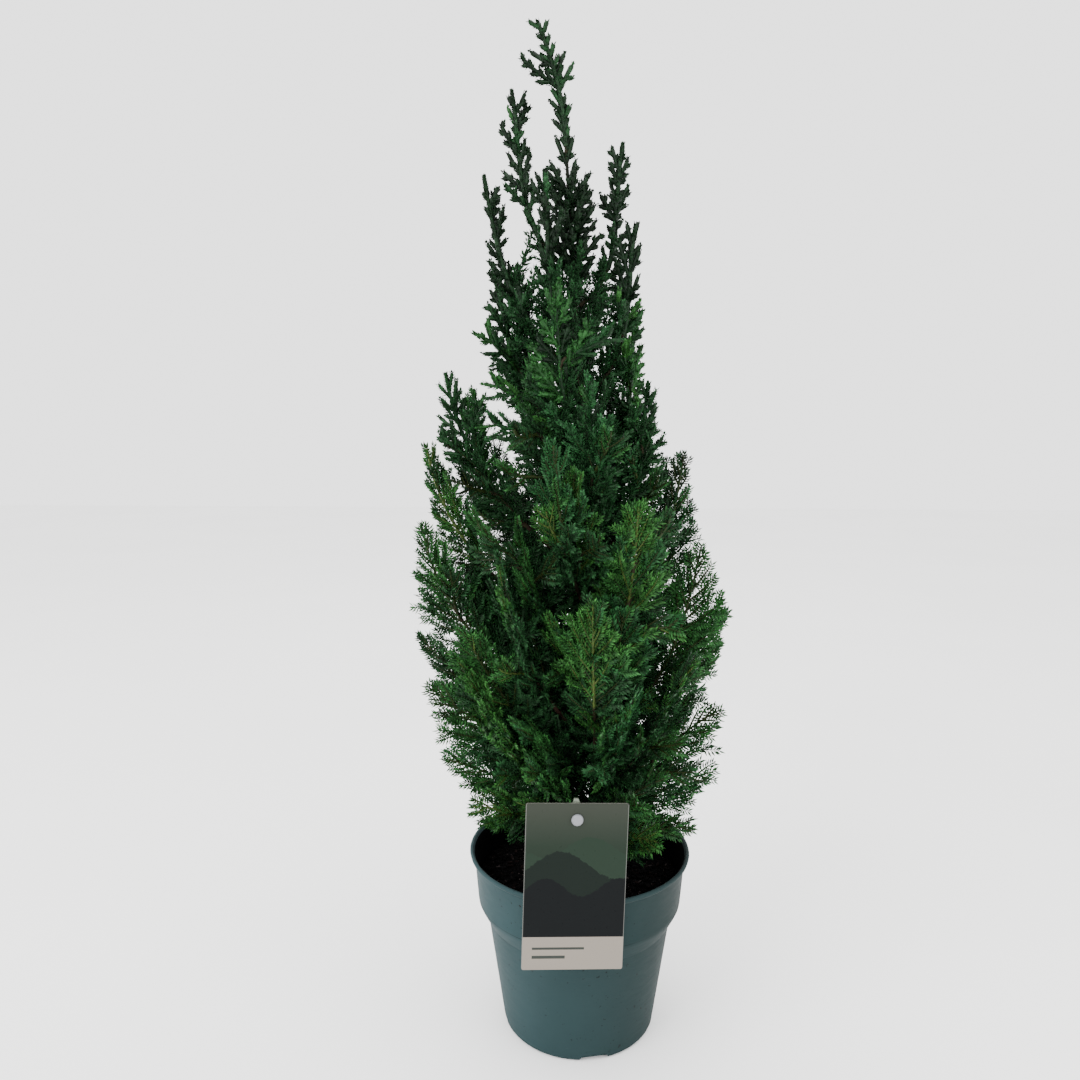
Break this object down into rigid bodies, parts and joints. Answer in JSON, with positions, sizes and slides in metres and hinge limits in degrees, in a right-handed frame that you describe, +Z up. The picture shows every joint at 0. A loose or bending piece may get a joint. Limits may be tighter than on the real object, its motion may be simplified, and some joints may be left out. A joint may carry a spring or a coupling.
{
  "type": "potted lawson cypress",
  "caption": "Young columnar conifer with upright feathery sprays, in a round nursery pot with soil and a blank hanging picture label.",
  "frame": {"origin": "centre of the pot's flat underside", "axes": "+Z up through the pot, -Y to the front, where the label hangs, +X to the right as seen from the front"},
  "size_m": [0.1823, 0.1491, 0.5661],
  "materials": {
    "pot": "satin",
    "soil": "matte",
    "trunk": "matte",
    "bough": "matte",
    "foliage": "matte",
    "label_card": "satin",
    "label_stake": "satin"
  },
  "bodies": {
    "root": {"pot": "pot", "soil": "soil", "trunk": "trunk", "label_card": "label_card", "label_stake": "label_stake", "bough_1": "bough", "bough_2": "bough", "bough_3": "bough", "bough_4": "bough", "bough_5": "bough", "bough_6": "bough", "bough_7": "bough", "bough_8": "bough", "bough_9": "bough", "bough_10": "bough", "bough_11": "bough", "foliage_leader": "foliage", "foliage_left_1": "foliage", "foliage_left_2": "foliage", "foliage_left_3": "foliage", "foliage_left_4": "foliage", "foliage_left_5": "foliage", "foliage_left_6": "foliage", "foliage_left_7": "foliage", "foliage_left_8": "foliage", "foliage_left_9": "foliage", "foliage_left_10": "foliage", "foliage_right_1": "foliage", "foliage_right_2": "foliage", "foliage_right_3": "foliage", "foliage_right_4": "foliage", "foliage_right_5": "foliage", "foliage_right_6": "foliage", "foliage_right_7": "foliage", "foliage_right_8": "foliage", "foliage_right_9": "foliage", "foliage_right_10": "foliage", "foliage_front_1": "foliage", "foliage_front_2": "foliage", "foliage_front_3": "foliage", "foliage_front_4": "foliage", "foliage_front_5": "foliage", "foliage_front_6": "foliage", "foliage_fill_1": "foliage", "foliage_fill_2": "foliage", "foliage_fill_3": "foliage", "foliage_fill_4": "foliage", "foliage_fill_5": "foliage", "foliage_fill_6": "foliage", "foliage_fill_7": "foliage", "foliage_fill_8": "foliage", "foliage_fill_9": "foliage", "foliage_fill_10": "foliage", "foliage_fill_11": "foliage", "foliage_fill_12": "foliage", "foliage_fill_13": "foliage", "foliage_fill_14": "foliage", "foliage_fill_15": "foliage", "foliage_fill_16": "foliage", "foliage_fill_17": "foliage"}
  },
  "joints": []
}
